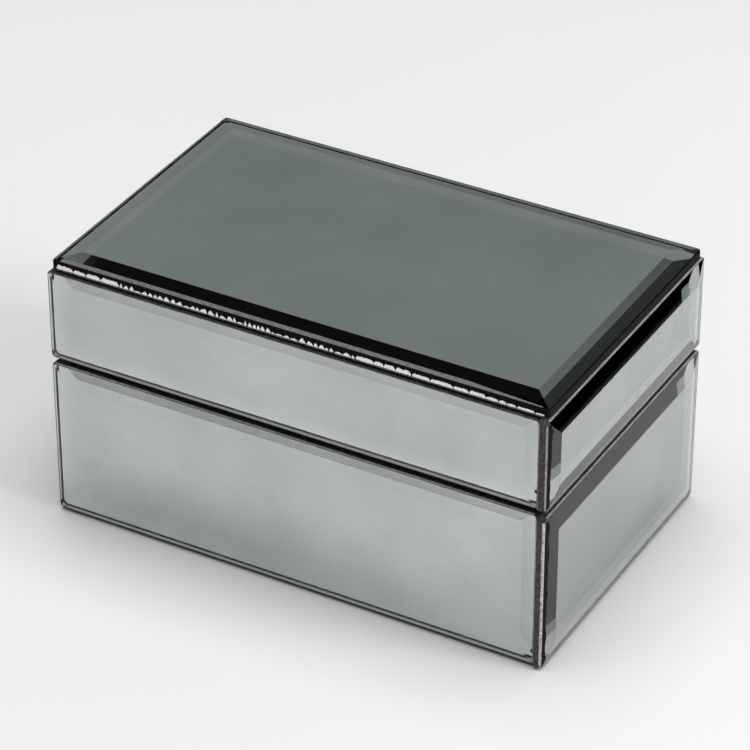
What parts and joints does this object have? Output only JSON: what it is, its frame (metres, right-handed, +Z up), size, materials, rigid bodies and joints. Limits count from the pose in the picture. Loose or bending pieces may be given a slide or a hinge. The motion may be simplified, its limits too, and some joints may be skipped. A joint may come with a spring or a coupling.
{
  "type": "vanity trinket box",
  "caption": "Rectangular vanity trinket box clad in bevelled smoked mirror, with a lid hinged at the back and a velvet-lined inside.",
  "frame": {"origin": "centre of the box's underside, on the plane it rests on", "axes": "X runs along the front to the right, -Y faces the front, +Z is up; the lid is closed at rest"},
  "size_m": [0.178, 0.1105, 0.0965],
  "materials": {
    "smoked_mirror": "polished bevelled glass, silvered behind",
    "black_board": "fibreboard painted matt black",
    "black_velvet": "short-pile velvet over card",
    "black_felt": "felt",
    "nickel_hinge": "nickel plated"
  },
  "bodies": {
    "base": {"base_back_board": "black_board", "base_back_lining": "black_velvet", "base_back_mirror": "smoked_mirror", "base_felt": "black_felt", "base_floor_board": "black_board", "base_floor_pad": "black_velvet", "base_front_board": "black_board", "base_front_lining": "black_velvet", "base_front_mirror": "smoked_mirror", "base_left_board": "black_board", "base_left_lining": "black_velvet", "base_left_mirror": "smoked_mirror", "base_right_board": "black_board", "base_right_lining": "black_velvet", "base_right_mirror": "smoked_mirror", "hinge_left_base_leaf": "nickel_hinge", "hinge_left_base_screw_1": "nickel_hinge", "hinge_left_base_screw_2": "nickel_hinge", "hinge_left_pin": "nickel_hinge", "hinge_right_base_leaf": "nickel_hinge", "hinge_right_base_screw_1": "nickel_hinge", "hinge_right_base_screw_2": "nickel_hinge", "hinge_right_pin": "nickel_hinge"},
    "lid": {"hinge_left_lid_leaf": "nickel_hinge", "hinge_left_lid_screw_1": "nickel_hinge", "hinge_left_lid_screw_2": "nickel_hinge", "hinge_right_lid_leaf": "nickel_hinge", "hinge_right_lid_screw_1": "nickel_hinge", "hinge_right_lid_screw_2": "nickel_hinge", "lid_back_board": "black_board", "lid_back_lining": "black_velvet", "lid_back_mirror": "smoked_mirror", "lid_front_board": "black_board", "lid_front_lining": "black_velvet", "lid_front_mirror": "smoked_mirror", "lid_left_board": "black_board", "lid_left_lining": "black_velvet", "lid_left_mirror": "smoked_mirror", "lid_right_board": "black_board", "lid_right_lining": "black_velvet", "lid_right_mirror": "smoked_mirror", "lid_top_board": "black_board", "lid_top_mirror": "smoked_mirror", "lid_top_pad": "black_velvet"}
  },
  "joints": [
    {"name": "lid_hinge", "type": "hinge", "parent": "base", "child": "lid", "pos_m": [0, 0.0547, 0.0581], "axis": [-1, 0, 0], "range_deg": [0, 95]}
  ]
}
